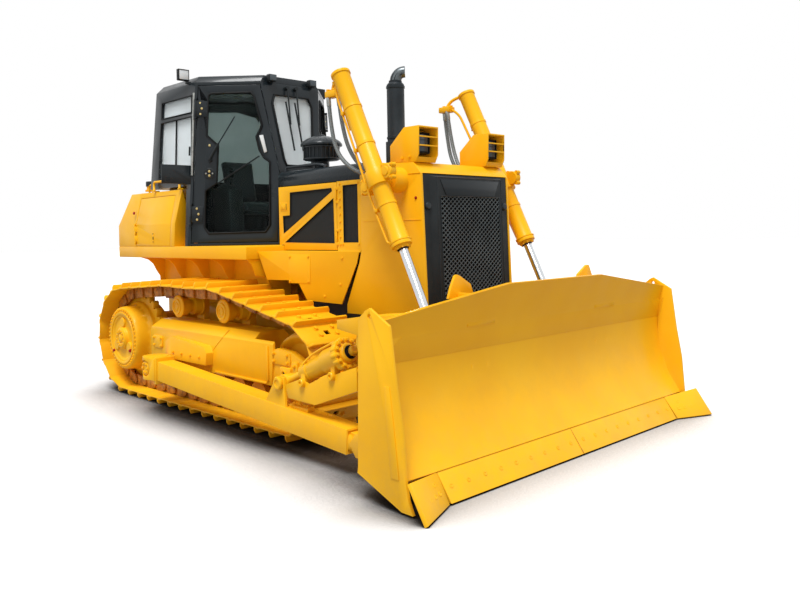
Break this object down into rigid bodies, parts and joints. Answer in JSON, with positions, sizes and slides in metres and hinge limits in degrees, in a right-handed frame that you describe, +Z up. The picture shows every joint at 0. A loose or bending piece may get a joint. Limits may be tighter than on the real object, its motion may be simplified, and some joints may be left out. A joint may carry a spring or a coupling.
{
  "type": "bulldozer",
  "caption": "Crawler bulldozer with a straight tilt blade on push arms, closed cab, tracks with single-grouser shoes and lift and tilt cylinders.",
  "frame": {"origin": "middle of the length and width of the parked machine, on the ground line under the track grousers", "axes": "+X forward towards the blade, +Y to the machine's left, +Z up"},
  "size_m": [5.306, 3.383, 3.1338],
  "materials": {
    "yellow_paint": "gloss",
    "black_paint": "satin",
    "glass": "clear",
    "chrome": "polished",
    "seat_cloth": "matte",
    "cab_plastic": "matte",
    "engine_grey": "satin"
  },
  "bodies": {
    "chassis": {"cab_glass": "glass", "cab_roof": "black_paint", "cab_shell": "black_paint", "chains": "yellow_paint", "console": "cab_plastic", "engine_block": "engine_grey", "exhaust": "black_paint", "fender_boxes": "yellow_paint", "fuel_tank": "yellow_paint", "grille": "black_paint", "handrails": "yellow_paint", "headlamp_guards": "yellow_paint", "headlamps": "black_paint", "hood": "black_paint", "idlers": "yellow_paint", "main_frame": "yellow_paint", "platform": "yellow_paint", "pre_cleaner": "black_paint", "radiator": "engine_grey", "radiator_guard": "yellow_paint", "roof_lamps": "black_paint", "seat": "seat_cloth", "side_panels": "yellow_paint", "sprockets": "yellow_paint", "track_frames": "yellow_paint", "track_rollers": "yellow_paint", "tracks": "yellow_paint"},
    "arm_left": {"push_arm_left": "yellow_paint", "brace": "yellow_paint"},
    "blade": {"blade": "yellow_paint", "cutting_edge": "yellow_paint"},
    "arm_right": {"push_arm_right": "yellow_paint"},
    "tilt_barrel": {"tilt_barrel": "yellow_paint"},
    "tilt_rod": {"tilt_rod": "chrome"},
    "lift_barrel_right": {"lift_barrel_right": "yellow_paint"},
    "lift_rod_right": {"lift_rod_right": "chrome"},
    "lift_barrel_left": {"lift_barrel_left": "yellow_paint"},
    "lift_rod_left": {"lift_rod_left": "chrome"},
    "cab_door_right": {"cab_door_right": "black_paint", "door_glass_right": "glass"},
    "cab_door_left": {"cab_door_left": "black_paint", "door_glass_left": "glass"},
    "hood_door_right": {"hood_door_right": "yellow_paint"},
    "hood_door_left": {"hood_door_left": "yellow_paint"},
    "box_door_right": {"box_door_right": "yellow_paint"},
    "box_door_left": {"box_door_left": "yellow_paint"}
  },
  "joints": [
    {"name": "blade_lift", "type": "hinge", "parent": "chassis", "child": "arm_left", "pos_m": [-1.03, 1.33, 0.395], "axis": [0, -1, 0], "range_deg": [-8.7, 17.5]},
    {"name": "blade_tilt", "type": "hinge", "parent": "arm_left", "child": "blade", "pos_m": [1.76, 1.33, 0.215], "axis": [1, 0, 0], "range_deg": [-3.4, 3.4]},
    {"name": "arm_right_follow", "type": "hinge", "parent": "arm_left", "child": "arm_right", "pos_m": [-1.03, -1.33, 0.395], "axis": [0, -1, 0], "range_deg": [-3.3, 3.3]},
    {"name": "tilt_barrel_swing", "type": "hinge", "parent": "arm_right", "child": "tilt_barrel", "pos_m": [0.95, -1.33, 0.51], "axis": [0, -1, 0], "range_deg": [-1.2, 1.2]},
    {"name": "tilt_rod_slide", "type": "slide", "parent": "tilt_barrel", "child": "tilt_rod", "axis": [0.9274, 0, 0.374], "range_m": [-0.03, 0.03]},
    {"name": "lift_barrel_right_swing", "type": "hinge", "parent": "chassis", "child": "lift_barrel_right", "pos_m": [1.275, -0.724, 1.938], "axis": [0, -1, 0], "range_deg": [-7.5, 14.6]},
    {"name": "lift_rod_right_slide", "type": "slide", "parent": "lift_barrel_right", "child": "lift_rod_right", "axis": [0.4373, 0, -0.8993], "range_m": [-0.86, 0.43]},
    {"name": "cab_door_right_hinge", "type": "hinge", "parent": "chassis", "child": "cab_door_right", "pos_m": [-1.194, -0.821, 2.2], "axis": [-0.0333, -0.0597, -0.9977], "range_deg": [0, 135]},
    {"name": "hood_door_right_hinge", "type": "hinge", "parent": "chassis", "child": "hood_door_right", "pos_m": [0.533, -0.513, 1.69], "axis": [0, 0, 1], "range_deg": [0, 110]},
    {"name": "box_door_right_hinge", "type": "hinge", "parent": "chassis", "child": "box_door_right", "pos_m": [-2.243, -0.912, 1.57], "axis": [0, 0, -1], "range_deg": [0, 110]},
    {"name": "lift_barrel_left_swing", "type": "hinge", "parent": "chassis", "child": "lift_barrel_left", "pos_m": [1.275, 0.724, 1.938], "axis": [0, -1, 0], "range_deg": [-7.5, 14.6]},
    {"name": "lift_rod_left_slide", "type": "slide", "parent": "lift_barrel_left", "child": "lift_rod_left", "axis": [0.4373, 0, -0.8993], "range_m": [-0.86, 0.43]},
    {"name": "cab_door_left_hinge", "type": "hinge", "parent": "chassis", "child": "cab_door_left", "pos_m": [-1.194, 0.821, 2.2], "axis": [0.0333, -0.0597, 0.9977], "range_deg": [0, 135]},
    {"name": "hood_door_left_hinge", "type": "hinge", "parent": "chassis", "child": "hood_door_left", "pos_m": [0.533, 0.513, 1.69], "axis": [0, 0, -1], "range_deg": [0, 110]},
    {"name": "box_door_left_hinge", "type": "hinge", "parent": "chassis", "child": "box_door_left", "pos_m": [-2.243, 0.912, 1.57], "axis": [0, 0, 1], "range_deg": [0, 110]}
  ],
  "couplings": [
    {"joint": "arm_right_follow", "follows": "blade_tilt", "ratio": -0.951},
    {"joint": "tilt_barrel_swing", "follows": "blade_tilt", "ratio": 0.274},
    {"joint": "tilt_rod_slide", "follows": "blade_tilt", "m_per_rad": -0.392},
    {"joint": "lift_barrel_right_swing", "follows": "blade_lift", "ratio": 0.82},
    {"joint": "lift_rod_right_slide", "follows": "blade_lift", "m_per_rad": -2.763},
    {"joint": "lift_barrel_left_swing", "follows": "blade_lift", "ratio": 0.82},
    {"joint": "lift_rod_left_slide", "follows": "blade_lift", "m_per_rad": -2.763}
  ]
}
